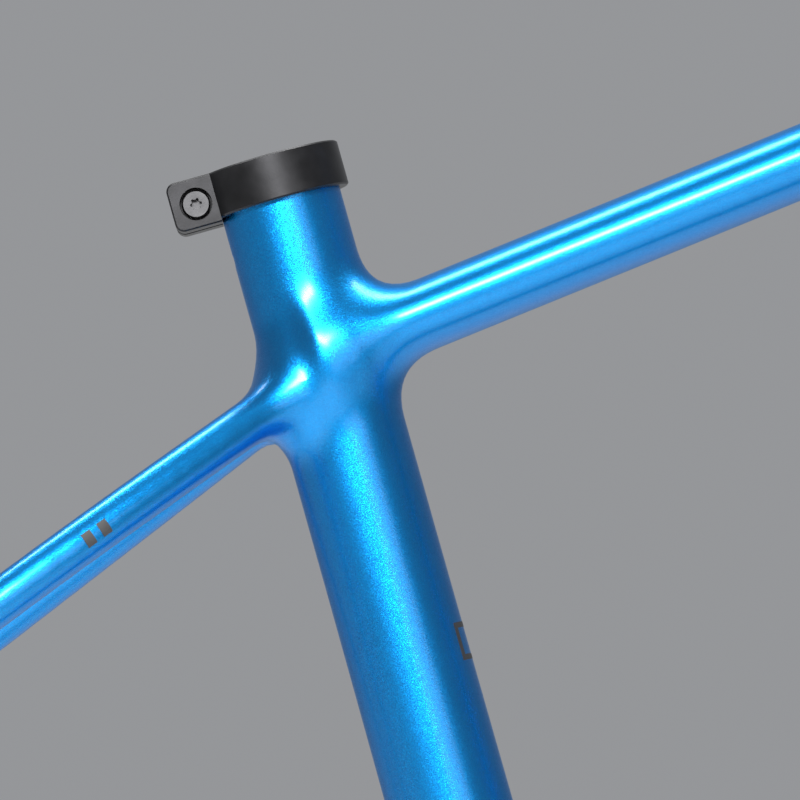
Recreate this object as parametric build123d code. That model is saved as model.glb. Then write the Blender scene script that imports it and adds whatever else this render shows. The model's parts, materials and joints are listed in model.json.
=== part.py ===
from build123d import *

import os
from dataclasses import dataclass
from math import cos, pi, radians, sin, sqrt

# A carbon hardtail mountain-bike frame as it comes out of its box: the bonded tubes, the seat
# clamp, the headset, the press-fit bottom bracket, the rear axle, the derailleur hanger, the
# brake mount, the cable ports and the rubber guards.
#
# Millimetres. +X points forwards, +Y to the rider's left and +Z up. The origin is the middle of
# the bottom bracket, on the crank axis.

# ---------------------------------------------------------------- geometry of the frame
seat_tube_angle = 74.3
head_tube_angle = 68.5
seat_tube_length = 430.0  # crank axis to the top of the seat tube
stack = 612.0  # crank axis up to the top of the head tube
reach = 440.0  # crank axis forwards to the top of the head tube
head_tube_length = 110.0
chainstay_length = 430.0
bb_drop = 62.0  # crank axis below the rear axle
hub_width = 148.0
tyre_gap = 70.0  # clear width between the stays where the tyre passes

# ---------------------------------------------------------------- tubes
wall = 2.2
station_count = 15  # sections that each tube is lofted through
seat_tube_wall = 1.65  # round the seat post
seat_tube_foot_width = 62.0
seat_tube_foot_height = 41.0
top_tube_drop = 57.5  # top of the seat tube down to the top tube's centreline
top_tube_head_drop = 30.6  # top of the head tube down to the top tube's centreline
top_tube_rear_height = 20.4
top_tube_rear_width = 36.0
top_tube_front_height = 38.0
top_tube_front_width = 42.0
down_tube_head_drop = 62.0  # top of the head tube down to the down tube's centreline
down_tube_front_height = 52.0
down_tube_front_width = 46.0
down_tube_rear_height = 48.0
down_tube_rear_width = 68.0
stay_drop = 61.0  # top of the seat tube down to the seatstays' centrelines
stay_slope = 36.8  # fall of the seatstays from their roots, below horizontal
seatstay_height = 12.7
seatstay_width = 15.0
chainstay_front_height = 34.0
chainstay_rear_height = 19.0
chainstay_width = 15.0
head_tube_top_wall = 4.0  # round the upper bearing
head_tube_waist_wall = 4.6  # round the way through for the steerer
head_tube_bottom_wall = 4.5  # round the lower bearing
bb_shell_wall = 4.5
bb_shell_width = 92.0

# ---------------------------------------------------------------- seat post and its clamp
seat_post_diameter = 31.6
seat_bore_depth = 200.0
seat_slot_width = 2.5
seat_slot_length = 24.0
collar_height = 13.0
collar_thickness = 2.8
collar_lip = 1.0  # rim of the collar that caps the tube's end
collar_ear_height = 14.3
collar_ear_length = 13.25  # back of the seat tube to the ears' end
collar_ear_half_width = 10.5
collar_slot_width = 3.0
collar_ear_corner = 2.6
collar_bolt_behind = 5.95  # back of the seat tube to the bolt's axis
collar_bolt_drop = 7.5  # top of the collar down to the bolt's axis
collar_bolt_radius = 2.5
collar_head_rim = 1.6  # bolt's head beyond its shank
collar_head_height = 3.5
collar_head_room = 0.6  # radial gap round the head in its counterbore
collar_nut_wall = 1.5
collar_nut_length = 6.6
star_radius = 1.75  # six-lobed key socket
star_depth = 2.2
edge_chamfer = 0.45  # on turned and machined edges

# ---------------------------------------------------------------- ball bearings
race_shoulder = 0.5  # how deep a ball sits below its race's land
cage_rail = 0.6  # cage beyond the balls, along the bearing's axis
cage_clearance = 0.08  # radial gap of a ball in its cage pocket
seal_thickness = 0.5
seal_recess = 0.2

# ---------------------------------------------------------------- headset
steerer_diameter = 28.6
crown_seat_diameter = 39.8
upper_bearing_section = 5.65  # bore to outside
lower_bearing_section = 5.9
lower_bearing_room = 0.1  # round the crown seat
headset_bearing_width = 8.0
headset_bearing_depth = 1.0  # from the head tube's end to the bearing
headset_ball_radius = 1.5
upper_ball_count = 18
lower_ball_count = 22
head_passage_room = 3.9  # round the steerer
compression_wall = 0.95  # between the steerer and the upper bearing
compression_depth = 5.0  # from the bearing's face down its bore
compression_rim = 1.6
compression_height = 1.4  # head tube's end up to the compression ring's top
compression_split = 1.5
cover_inset = 1.5  # head tube's rim in to the cover's edge
cover_shoulder_wall = 4.3
cover_edge = 3.0
cover_height = 7.5
cover_seal_height = 1.2
seal_band = 1.0
crown_race_height = 4.6
crown_race_lip = 2.0
crown_race_skirt = 2.0  # beyond the lower bearing's outside
crown_race_rim = 2.4  # beyond the lower bearing's bore

# ---------------------------------------------------------------- bottom bracket
spindle_diameter = 24.0
bb_bearing_section = 6.0  # bore to outside
bb_bearing_width = 7.0
bb_ball_radius = 1.75
bb_ball_count = 16
bb_cup_depth = 20.0
bb_cup_wall = 2.0  # round the bearing
bb_cup_skirt = 2.4  # round the sleeve
bb_flange_rim = 3.0  # beyond the shell's bore
bb_flange_width = 2.5
bb_bearing_recess = 1.0  # cup's face in to the bearing
bb_cup_step = 2.5  # web's reach in behind the bearing
bb_cup_web = 1.5
dust_cover_wall = 0.5  # between the spindle and the bearing
dust_cover_inset = 0.9  # bearing's outside in to the cover's edge
dust_cover_width = 1.5
dust_cover_foot = 1.2

# ---------------------------------------------------------------- rear end
dropout_thickness = 8.0
dropout_wall = 6.0  # round the hanger's boss
stay_arm_radius = 7.5
axle_radius = 6.0
axle_head_rim = 3.5
axle_head_width = 3.5
axle_washer_width = 1.5
axle_key_radius = 3.4  # corner radius of the six-sided key socket
axle_key_depth = 5.0
hanger_plate = 4.0
hanger_bolt_wall = 2.0  # round the axle
hanger_boss_wall = 3.0  # round the bolt
hanger_rim = 2.0  # plate beyond the boss
hanger_hole_drop = 28.0  # axle down to the derailleur's hole
hanger_hole_back = 8.0
hanger_thread_radius = 4.5
hanger_lug_radius = 8.5
hanger_flange_rim = 1.5  # bolt's flange beyond the boss
hanger_flange_width = 2.5
hanger_lug_extra = 3.0  # the lug stands out this far past the plate
brake_hole_spacing = 74.2
brake_thread_radius = 2.5
brake_thread_depth = 14.0
brake_post_radius = 7.0
brake_post_height = 25.0  # chainstay's centreline up to the posts' faces
brake_post_ahead = 36.0  # chainstay's end forwards to the middle of the two posts
brake_post_inset = 2.0  # dropout's inner face in to the posts' axes
brake_web = 8.0
brake_web_drop = 7.0  # posts' faces down to the web between them

# ---------------------------------------------------------------- small parts
bottle_spacing = 64.0
bottle_thread_radius = 2.1
insert_wall = 2.4
insert_depth = 12.0
insert_flange_rim = 1.7
insert_flange = 0.8
seat_bottle_drop = 16.0  # end of the post's bore down to the upper hole
down_bottle_height = 330.0  # crank axis up the down tube to the middle of its two holes
guard_thickness = 1.6
port_drop = 132.064  # head tube's axis down the down tube to the cable ports
port_length = 34.0
port_width = 16.0
port_thickness = 1.5
port_tilt = 32.0  # how far the cable's way in leans out from the tube
port_hood_wall = 1.4
port_hood_length = 13.0
port_screw_back = -12.0  # middle of the port along the tube to its screw
grommet_wall = 1.6
grommet_length = 6.0
cable_radius = 2.6
small_screw_radius = 1.5
small_screw_length = 6.0
small_head_rim = 1.3
small_head_height = 1.4
small_key_radius = 1.1
spot_face = 0.4  # how deep a screw's flat seat is cut into a curved cover
bb_guard_length = 48.0
bb_guard_angle = 64.0
bb_guard_screw_side = 18.0  # middle plane of the bicycle out to the screws
down_guard_start = 45.0  # crank axis up the down tube to the guard's lower end
down_guard_end = 250.0
down_guard_half_width = 24.0
stay_guard_start = 25.0
stay_guard_end = 225.0

# ---------------------------------------------------------------- fits
running = 0.05  # radial gap of a part that turns or slides in another
seat_gap = 0.1  # radial gap of a part that is dropped into its seat
apart = 0.3  # gap between faces that turn past each other
bond_line = 0.1  # glue under a bonded insert's flange

# ---------------------------------------------------------------- sizes that follow from those above
seat_tube_diameter = seat_post_diameter + 2 * seat_tube_wall
collar_ear_reach = seat_tube_diameter / 2 + collar_ear_length
collar_bolt_back = seat_tube_diameter / 2 + collar_bolt_behind
collar_head_radius = collar_bolt_radius + collar_head_rim
collar_nut_radius = collar_bolt_radius + collar_nut_wall
upper_bearing_inner = steerer_diameter + 2 * compression_wall
upper_bearing_outer = upper_bearing_inner + 2 * upper_bearing_section
lower_bearing_inner = crown_seat_diameter + 2 * lower_bearing_room
lower_bearing_outer = lower_bearing_inner + 2 * lower_bearing_section
head_passage_radius = steerer_diameter / 2 + head_passage_room
head_tube_top_radius = upper_bearing_outer / 2 + seat_gap + head_tube_top_wall
head_tube_waist_radius = head_passage_radius + head_tube_waist_wall
head_tube_bottom_radius = lower_bearing_outer / 2 + seat_gap + head_tube_bottom_wall
cover_radius = head_tube_top_radius - cover_inset
cover_shoulder_radius = steerer_diameter / 2 + cover_shoulder_wall
crown_race_radius = lower_bearing_inner / 2 + crown_race_rim
bb_bearing_inner = spindle_diameter + 2 * dust_cover_wall
bb_bearing_outer = bb_bearing_inner + 2 * bb_bearing_section
bb_bore_radius = bb_bearing_outer / 2 + bb_cup_wall
bb_shell_radius = bb_bore_radius + bb_shell_wall
bb_flange_radius = bb_bore_radius + bb_flange_rim
bb_sleeve_radius = bb_bore_radius - bb_cup_skirt - seat_gap
bb_cup_passage = bb_bearing_outer / 2 - bb_cup_step
dust_cover_radius = bb_bearing_outer / 2 - dust_cover_inset
hanger_bore_radius = axle_radius + hanger_bolt_wall
hanger_boss_radius = hanger_bore_radius + hanger_boss_wall
hanger_radius = hanger_boss_radius + hanger_rim
hanger_flange_radius = hanger_boss_radius + hanger_flange_rim
axle_head_radius = axle_radius + axle_head_rim
dropout_radius = hanger_boss_radius + dropout_wall
insert_radius = bottle_thread_radius + insert_wall
insert_flange_radius = insert_radius + insert_flange_rim
grommet_radius = cable_radius + grommet_wall
port_hood_radius = grommet_radius + port_hood_wall
small_head_radius = small_screw_radius + small_head_rim
seat_bottle_height = seat_tube_length - seat_bore_depth - seat_bottle_drop - bottle_spacing / 2

left, right = 1, -1
seat_up = Vector(-cos(radians(seat_tube_angle)), 0, sin(radians(seat_tube_angle)))
head_up = Vector(-cos(radians(head_tube_angle)), 0, sin(radians(head_tube_angle)))
seat_top = seat_up * seat_tube_length
head_top = Vector(reach, 0, stack)
head_bottom = head_top - head_up * head_tube_length
axle = Vector(-sqrt(chainstay_length**2 - bb_drop**2), 0, bb_drop)
dropout_inner = hub_width / 2 + hanger_plate  # middle plane out to the dropouts' inner faces
dropout_outer = dropout_inner + dropout_thickness
dropout_middle = (dropout_inner + dropout_outer) / 2


# ---------------------------------------------------------------- shapes
@dataclass
class Station:
    """One section of a tube: where it is, which way the tube runs, its size and its form."""

    centre: Vector
    along: Vector
    width: float  # across the bicycle
    height: float  # square to the tube, in the side view
    power: float  # 2 is an ellipse, more is squarer

    def plane(self):
        along = self.along.normalized()
        sideways = (Vector(0, 1, 0) - along * along.Y).normalized()
        return Plane(origin=self.centre, x_dir=sideways, z_dir=along)


def signed_power(value, power):
    return abs(value) ** power * (1 if value > 0 else -1)


def outline(station, shrink=0.0):
    """The closed superellipse of a station, as a wire."""
    half_width = station.width / 2 - shrink
    half_height = station.height / 2 - shrink
    plane = station.plane()
    points = []
    for step in range(16):
        angle = 2 * pi * step / 16
        x = half_width * signed_power(cos(angle), 2 / station.power)
        y = half_height * signed_power(sin(angle), 2 / station.power)
        points.append(plane.from_local_coords(Vector(x, y, 0)))
    return Wire([Edge.make_spline(points, periodic=True)])


def tube(stations, shrink=0.0):
    """The filled solid through a tube's stations, its surface moved inwards by shrink."""
    return Solid.make_loft([outline(station, shrink) for station in stations])


def eased(places, values, at):
    """The value at a place, on a smooth curve through the values that never overshoots them."""
    spans = [b - a for a, b in zip(places, places[1:])]
    rises = [(b - a) / span for a, b, span in zip(values, values[1:], spans)]
    slopes = [rises[0]]
    for before, after in zip(rises, rises[1:]):
        slopes.append(2 * before * after / (before + after) if before * after > 0 else 0.0)
    slopes.append(rises[-1])
    row = max(n for n in range(len(spans)) if places[n] <= at)
    t = (at - places[row]) / spans[row]
    start = values[row] * (1 + 2 * t) * (1 - t) ** 2 + values[row + 1] * t**2 * (3 - 2 * t)
    return start + spans[row] * t * (1 - t) * (slopes[row] * (1 - t) - slopes[row + 1] * t)


def carried(path, rows):
    """Even stations along a path. Each row is share of the length, width, height, power."""
    places, *sizes = zip(*rows)
    shares = [n / (station_count - 1) for n in range(station_count)]
    stations = []
    for share in shares:
        width, height, power = (eased(places, column, share) for column in sizes)
        stations.append(Station(path @ share, path % share, width, height, power))
    return stations


def straight(start, end, rows):
    return carried(Line(start, end), rows)


def moved(plane, x, y, z):
    """The same plane with its origin at a point given in its own coordinates."""
    origin = plane.from_local_coords(Vector(x, y, z))
    return Plane(origin=origin, x_dir=plane.x_dir, z_dir=plane.z_dir)


def biggest(shape):
    """The largest solid of a cut shape, without the offcuts."""
    return max(shape.solids(), key=lambda solid: solid.volume)


def group(solids):
    """Several separate solids as one node."""
    return Compound(children=[Solid(s.wrapped) for shape in solids for s in shape.solids()])


def turned(profile, plane):
    """A solid of revolution: profile is (radius, height) points, turned about the plane's normal."""
    face = Face(Wire.make_polygon([Vector(r, 0, h) for r, h in profile]))
    return plane.location * Solid.revolve(face, 360, Axis.Z)


def turned_ring(inner, outer, half, groove_radius, groove_size, plane):
    """A ring, half on each side of the plane, with a round groove at its middle."""
    rim = Face(Wire.make_polygon([(inner, 0, -half), (outer, 0, -half), (outer, 0, half), (inner, 0, half)]))
    cross_section = Plane(origin=(groove_radius, 0, 0), x_dir=(1, 0, 0), z_dir=(0, -1, 0))
    bite = Face(Wire.make_circle(groove_size, cross_section))
    return plane.location * Solid.revolve((rim - bite).face(), 360, Axis.Z)


def ring(inner, outer, low, high, plane):
    """A plain ring from height low to height high above the plane."""
    return turned([(inner, low), (outer, low), (outer, high), (inner, high)], plane)


def rod(radius, low, high, plane):
    """A plain cylinder from height low to height high above the plane."""
    return plane.location * Solid.make_cylinder(radius, high - low, Plane((0, 0, low)))


def block(low, high, plane):
    """A box between two corners in a plane's own coordinates."""
    size = [b - a for a, b in zip(low, high)]
    return plane.location * Solid.make_box(*size, Plane(tuple(low)))


def plate(circles, low, high, plane):
    """The hull of circles (x, y, radius) on a plane, from height low to height high above it."""
    edges = [Edge.make_circle(r, Plane((x, y, 0))) for x, y, r in circles]
    face = make_hull(edges).face()
    return plane.location * Pos(0, 0, low) * Solid.extrude(face, Vector(0, 0, high - low))


def prism(sides, radius, low, high, plane):
    """A prism with a regular outline, its corners on the radius."""
    angles = [2 * pi * n / sides for n in range(sides)]
    corners = [Vector(radius * cos(angle), radius * sin(angle), low) for angle in angles]
    face = Face(Wire.make_polygon(corners))
    return plane.location * Solid.extrude(face, Vector(0, 0, high - low))


def surface_distance(body, start, direction):
    """How far a point inside a body is from its surface, in a direction."""
    ray = Edge.make_line(start, start + direction * 200)
    return (body & ray).edges()[0].length


def flat(side, forward, up):
    """A point of the side view in the coordinates of the plane that outward gives."""
    return forward, -side * up


# ---------------------------------------------------------------- planes
seat_plane = Plane(origin=seat_top, x_dir=Vector(0, 1, 0).cross(seat_up), z_dir=seat_up)
head_plane = Plane(origin=head_top, x_dir=Vector(0, 1, 0).cross(head_up), z_dir=head_up)
head_foot_plane = Plane(origin=head_bottom, x_dir=head_plane.x_dir, z_dir=-head_up)


def outward(side, centre=Vector(0, 0, 0)):
    """Plane at a point of the middle plane, facing out of the given side, with x forwards."""
    return Plane(origin=centre, x_dir=(1, 0, 0), z_dir=(0, side, 0))


# ---------------------------------------------------------------- filled bodies of the tubes
seat_tube_stations = straight(
    Vector(0, 0, 0),
    seat_top,
    [
        (0.0, seat_tube_foot_width, seat_tube_foot_height, 2.3),
        (0.12, seat_tube_foot_width * 0.86, seat_tube_foot_height, 2.2),
        (0.3, seat_tube_foot_width * 0.62, seat_tube_foot_height * 0.92, 2.1),
        (0.5, seat_tube_diameter, seat_tube_diameter + 0.6, 2.0),
        (0.75, seat_tube_diameter, seat_tube_diameter, 2.0),
        (1.0, seat_tube_diameter, seat_tube_diameter, 2.0),
    ],
)
top_tube_stations = straight(
    seat_top - seat_up * top_tube_drop,
    head_top - head_up * top_tube_head_drop,
    [
        (0.0, top_tube_rear_width, top_tube_rear_height, 2.2),
        (0.25, top_tube_rear_width, top_tube_rear_height, 2.2),
        (
            0.6,
            (top_tube_rear_width + top_tube_front_width) / 2,
            (top_tube_rear_height * 2 + top_tube_front_height) / 3,
            2.3,
        ),
        (0.85, top_tube_front_width, top_tube_front_height - 3, 2.4),
        (1.0, top_tube_front_width, top_tube_front_height, 2.4),
    ],
)
down_tube_stations = straight(
    Vector(0, 0, 0),
    head_top - head_up * down_tube_head_drop,
    [
        (0.0, down_tube_rear_width, down_tube_rear_height, 2.6),
        (0.15, down_tube_rear_width - 4, down_tube_rear_height + 1, 2.6),
        (
            0.5,
            (down_tube_rear_width + down_tube_front_width) / 2,
            (down_tube_rear_height + down_tube_front_height) / 2,
            2.7,
        ),
        (0.85, down_tube_front_width + 2, down_tube_front_height, 2.6),
        (1.0, down_tube_front_width, down_tube_front_height, 2.5),
    ],
)


def on_side(points, side):
    return Spline(*[Vector(p.X, p.Y * side, p.Z) for p in points])


def seatstay_stations(side):
    """From inside the seat tube, out past the tyre and back to the dropout."""
    root = seat_top - seat_up * stay_drop
    fall = Vector(-cos(radians(stay_slope)), 0, -sin(radians(stay_slope)))
    past_tyre = (tyre_gap + seatstay_width) / 2
    points = [
        root + Vector(0, 3, 0),
        root + fall * 48 + Vector(0, past_tyre - 15.5, 0),
        root + fall * 88 + Vector(0, past_tyre, 0),
        root + fall * 225 + Vector(0, past_tyre + 14, -4),
        axle + Vector(19, dropout_middle, 36),
    ]
    w, h = seatstay_width, seatstay_height
    return carried(
        on_side(points, side),
        [
            (0.0, w + 3, h + 0.3, 2.2),
            (0.1, w + 1.5, h, 2.2),
            (0.2, w, h, 2.2),
            (0.4, w - 0.5, h, 2.2),
            (0.7, w - 2, h + 0.3, 2.2),
            (1.0, w - 4, h + 2, 2.2),
        ],
    )


def chainstay_stations(side):
    """From the bottom bracket, out past the tyre and back to the dropout."""
    past_tyre = (tyre_gap + chainstay_width) / 2
    points = [
        Vector(-8, past_tyre - 12, 1),
        Vector(-66, past_tyre, 3),
        Vector(-185, past_tyre + 8, 14),
        axle + Vector(115.5, past_tyre + 24, -28),
        axle + Vector(34, dropout_middle, -8),
    ]
    front, rear, w = chainstay_front_height, chainstay_rear_height, chainstay_width
    return carried(
        on_side(points, side),
        [
            (0.0, w + 9, front, 2.5),
            (0.16, w, front - 1, 2.5),
            (0.35, w, front - 5, 2.4),
            (0.65, w, (front + rear) / 2 - 2, 2.3),
            (1.0, w - 3, rear, 2.2),
        ],
    )


def head_tube_body():
    """The filled head tube: a straight rim at each end and a waisted barrel between them."""
    top = [(head_tube_top_radius, 0.0), (head_tube_top_radius, -9.0)]
    waist = [(head_tube_waist_radius, -26.0), (head_tube_waist_radius, -head_tube_length * 0.5)]
    foot = [(head_tube_bottom_radius, 9 - head_tube_length), (head_tube_bottom_radius, -head_tube_length)]
    points = [Vector(r, 0, h) for r, h in (top[1], *waist, foot[0])]
    barrel = Edge.make_spline(points, tangents=[Vector(0, 0, -1), Vector(0, 0, -1)])
    rest = Polyline(
        Vector(foot[0][0], 0, foot[0][1]),
        Vector(foot[1][0], 0, foot[1][1]),
        Vector(0, 0, foot[1][1]),
        Vector(0, 0, 0),
        Vector(top[0][0], 0, 0),
        Vector(top[1][0], 0, top[1][1]),
    )
    face = Face(Wire([barrel, *rest.edges()]))
    return head_plane.location * Solid.revolve(face, 360, Axis.Z)


seat_body = tube(seat_tube_stations)
top_body = tube(top_tube_stations)
down_body = tube(down_tube_stations)
seatstay_bodies = {side: tube(seatstay_stations(side)) for side in (left, right)}
chainstay_bodies = {side: tube(chainstay_stations(side)) for side in (left, right)}
head_body = head_tube_body()
bb_body = rod(bb_shell_radius, -bb_shell_width / 2, bb_shell_width / 2, outward(left))


# ---------------------------------------------------------------- where small parts sit
down_along = down_tube_stations[0].along.normalized()
port_height = (down_tube_stations[-1].centre - down_tube_stations[0].centre).length - port_drop


def bottle_planes(body, along, out, height):
    """Planes on a tube's surface at its two bottle-cage holes, facing out."""
    planes = []
    for offset in (-bottle_spacing / 2, bottle_spacing / 2):
        centre = along * (height + offset)
        surface = centre + out * (surface_distance(body, centre, out) + bond_line)
        planes.append(Plane(origin=surface, x_dir=(0, 1, 0), z_dir=out))
    return planes


seat_bottle_planes = bottle_planes(seat_body, seat_up, seat_plane.x_dir, seat_bottle_height)
down_out = down_along.cross(Vector(0, 1, 0))
down_bottle_planes = bottle_planes(down_body, down_along, down_out, down_bottle_height)


def port_plane(side):
    """Plane on the down tube's side wall at a cable port, facing out, with x up the tube."""
    centre = down_along * port_height
    out = Vector(0, side, 0)
    surface = centre + out * surface_distance(down_body, centre, out)
    return Plane(origin=surface, x_dir=down_along, z_dir=out)


def port_cable_plane(side):
    """Plane at a cable port whose normal is the cable's way out: up the tube and outwards."""
    at = port_plane(side)
    lean = radians(port_tilt)
    out = at.x_dir * cos(lean) + at.z_dir * sin(lean)
    return Plane(origin=at.from_local_coords(Vector(port_length * 0.1, 0, 0)), x_dir=at.y_dir, z_dir=out)


def port_screw_plane(side):
    """Plane on the outside of a port's cover at its screw, facing out."""
    return moved(port_plane(side), port_screw_back, 0, port_thickness - spot_face)


bb_guard_radius = bb_shell_radius + guard_thickness
bb_guard_seats = [(0, side * bb_guard_screw_side, spot_face - bb_guard_radius) for side in (left, right)]
bb_guard_screw_planes = [Plane(origin=seat, x_dir=(1, 0, 0), z_dir=(0, 0, -1)) for seat in bb_guard_seats]


def brake_plane():
    """Plane on the left chainstay's centreline, with x along the stay and z up to the caliper."""
    stations = chainstay_stations(left)
    along = stations[-1].centre - stations[-2].centre
    along = Vector(-along.X, 0, -along.Z).normalized()
    foot = Vector(stations[-1].centre.X, dropout_inner - brake_post_inset, stations[-1].centre.Z)
    return Plane(origin=foot + along * brake_post_ahead, x_dir=along, z_dir=along.cross(Vector(0, 1, 0)))


# ---------------------------------------------------------------- bonded tubes
def head_tube():
    """Head tube with a bearing seat at each end."""
    depth = headset_bearing_width + headset_bearing_depth
    shape = head_body - rod(head_passage_radius, -head_tube_length - 1, 1, head_plane)
    shape -= rod(upper_bearing_outer / 2 + seat_gap, -depth, 1, head_plane)
    shape -= rod(lower_bearing_outer / 2 + seat_gap, -depth, 1, head_foot_plane)
    return biggest(shape)


def bottom_bracket_shell():
    """Short wide tube that the cups press into, with holes for the cable cover's screws."""
    shape = bb_body - rod(bb_bore_radius, -bb_shell_width, bb_shell_width, outward(left))
    for hole in bb_guard_screw_planes:
        shape -= screw_hole(hole)
    return biggest(shape)


def seat_tube():
    """Seat tube, bored for the post and slit at the back so that the clamp can close it."""
    hollow = tube(seat_tube_stations, wall) - rod(seat_tube_foot_width, -seat_bore_depth, 1, seat_plane)
    shape = seat_body - bb_body - hollow
    shape -= rod(seat_post_diameter / 2, -seat_bore_depth - 1, 1, seat_plane)
    half = seat_slot_width / 2
    shape -= block((-seat_tube_diameter, -half, -seat_slot_length), (0, half, 1), seat_plane)
    slot_end = seat_plane.from_local_coords(Vector(0, 0, -seat_slot_length))
    relief = Plane(origin=slot_end, x_dir=(0, 1, 0), z_dir=-seat_plane.x_dir)
    shape -= rod(seat_slot_width, 0, seat_tube_diameter, relief)
    for hole in seat_bottle_planes:
        shape -= rod(insert_radius, -insert_depth - 1, insert_depth, hole)
    return biggest(shape)


def top_tube():
    return biggest(top_body - tube(top_tube_stations, wall) - seat_body - head_body)


def down_tube():
    """Down tube with its bottle-cage holes and cable ports."""
    shape = down_body - tube(down_tube_stations, wall) - bb_body - seat_body - head_body - top_body
    for hole in down_bottle_planes:
        shape -= rod(insert_radius, -insert_depth - 1, insert_depth, hole)
    for side in (left, right):
        shape -= rod(grommet_radius, -port_length, port_length, port_cable_plane(side))
        shape -= screw_hole(port_screw_plane(side))
    return biggest(shape)


def seatstay(side):
    """One seatstay. The two meet on the middle plane behind the seat tube."""
    shape = seatstay_bodies[side] - tube(seatstay_stations(side), wall) - seat_body - top_body
    other_half = block((-500, -500, -100), (500, 500, 0), outward(side))
    return biggest(shape - other_half)


def chainstay(side):
    """One chainstay, mitred to the bottom bracket shell and the two tubes above it."""
    shape = chainstay_bodies[side] - tube(chainstay_stations(side), wall)
    return biggest(shape - bb_body - seat_body - down_body)


def dropout_body(side):
    """Plate round the axle, with an arm that ends in a socket for each stay."""
    at = outward(side, axle)
    hub = (0, 0, dropout_radius)
    seat_arm = (*flat(side, 8, 25), stay_arm_radius)
    chain_arm = (*flat(side, 24, -6), stay_arm_radius + 2)
    shape = plate([hub, seat_arm], dropout_inner, dropout_outer, at)
    shape += plate([hub, chain_arm], dropout_inner, dropout_outer, at)
    for stations, arm in ((seatstay_stations(side), seat_arm), (chainstay_stations(side), chain_arm)):
        end = stations[-1]
        inside = at.from_local_coords(Vector(arm[0], arm[1], dropout_middle))
        tip = Station(inside, end.along, dropout_thickness - 1, end.height - 2, end.power)
        shape += tube([end, tip])
    return shape - seatstay_bodies[side] - chainstay_bodies[side]


def dropout_left():
    """Left dropout, with the hub's face on its inside and the axle's bore."""
    at = outward(left, axle)
    shape = dropout_body(left) + rod(hanger_radius, hub_width / 2, dropout_inner, at)
    return biggest(shape - rod(axle_radius + running, 0, hub_width, at))


def dropout_right():
    """Right dropout, bored for the boss of the hanger."""
    boss_bore = rod(hanger_boss_radius + running, 0, hub_width, outward(right, axle))
    return biggest(dropout_body(right) - boss_bore)


# ---------------------------------------------------------------- seat clamp
collar_bolt_plane = Plane(
    origin=seat_plane.from_local_coords(Vector(-collar_bolt_back, 0, collar_lip - collar_bolt_drop)),
    x_dir=seat_plane.x_dir,
    z_dir=(0, -1, 0),
)
collar_head_floor = collar_ear_half_width - collar_head_height - apart
collar_nut_floor = collar_ear_half_width - collar_nut_length


def collar_ears():
    """Block behind the tube that becomes the two ears, with rounded ends and chamfered edges."""
    half = collar_ear_half_width
    start = -seat_tube_diameter / 2
    low = collar_lip - collar_ear_height
    ears = Solid.make_box(
        start + collar_ear_reach,
        2 * half,
        collar_ear_height,
        Plane((-collar_ear_reach, -half, low)),
    )
    end_edges = ears.edges().filter_by(Axis.Y).group_by(Axis.X)[0]
    ears = ears.fillet(collar_ear_corner, end_edges)
    cheeks = [face for face in ears.faces().filter_by(Axis.Y)]
    edges = [edge for face in cheeks for edge in face.edges() if edge.center().X < start - edge_chamfer]
    return seat_plane.location * ears.chamfer(edge_chamfer, None, edges)


def seat_collar():
    """Split ring round the seat tube, with two ears behind it for the bolt."""
    outer = seat_tube_diameter / 2 + collar_thickness
    bottom = collar_lip - collar_height
    band = [
        (0, bottom),
        (outer - edge_chamfer, bottom),
        (outer, bottom + edge_chamfer),
        (outer, collar_lip - edge_chamfer),
        (outer - edge_chamfer, collar_lip),
        (0, collar_lip),
    ]
    shape = turned(band, seat_plane) + collar_ears()
    shape -= rod(seat_tube_diameter / 2 + running, -2 * collar_height, 0, seat_plane)
    shape -= rod(seat_post_diameter / 2 + apart, -1, 2 * collar_lip, seat_plane)
    gap = collar_slot_width / 2
    reach_back = 2 * collar_ear_reach
    shape -= block((-reach_back, -gap, -2 * collar_height), (0, gap, 2 * collar_lip), seat_plane)
    half = collar_ear_half_width
    shape -= rod(collar_bolt_radius + seat_gap, -half - 1, half + 1, collar_bolt_plane)
    shape -= rod(collar_head_radius + collar_head_room, collar_head_floor, half + 1, collar_bolt_plane)
    shape -= rod(collar_nut_radius + running, -half - 1, -collar_nut_floor, collar_bolt_plane)
    return biggest(shape)


def star_socket(radius, low, high, plane):
    """Six-lobed key socket: a core with a round lobe at each corner."""
    lobe = radius / 4
    shape = rod(radius - lobe, low, high, plane)
    for step in range(6):
        angle = 2 * pi * step / 6
        at = moved(plane, (radius - lobe) * cos(angle), (radius - lobe) * sin(angle), 0)
        shape += rod(lobe, low, high, at)
    return shape


def seat_collar_bolt():
    """Round-headed bolt that closes the clamp."""
    low = collar_head_floor
    high = low + collar_head_height
    end = -collar_ear_half_width + apart
    profile = [
        (0, end),
        (collar_bolt_radius, end),
        (collar_bolt_radius, low),
        (collar_head_radius, low),
        (collar_head_radius, high - edge_chamfer),
        (collar_head_radius - edge_chamfer, high),
        (0, high),
    ]
    shape = turned(profile, collar_bolt_plane)
    return biggest(shape - star_socket(star_radius, high - star_depth, high + 1, collar_bolt_plane))


def seat_collar_nut():
    """Round nut let into the far ear."""
    inner = collar_bolt_radius + running
    end = -collar_ear_half_width
    return ring(inner, collar_nut_radius, end, -collar_nut_floor, collar_bolt_plane)


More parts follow.
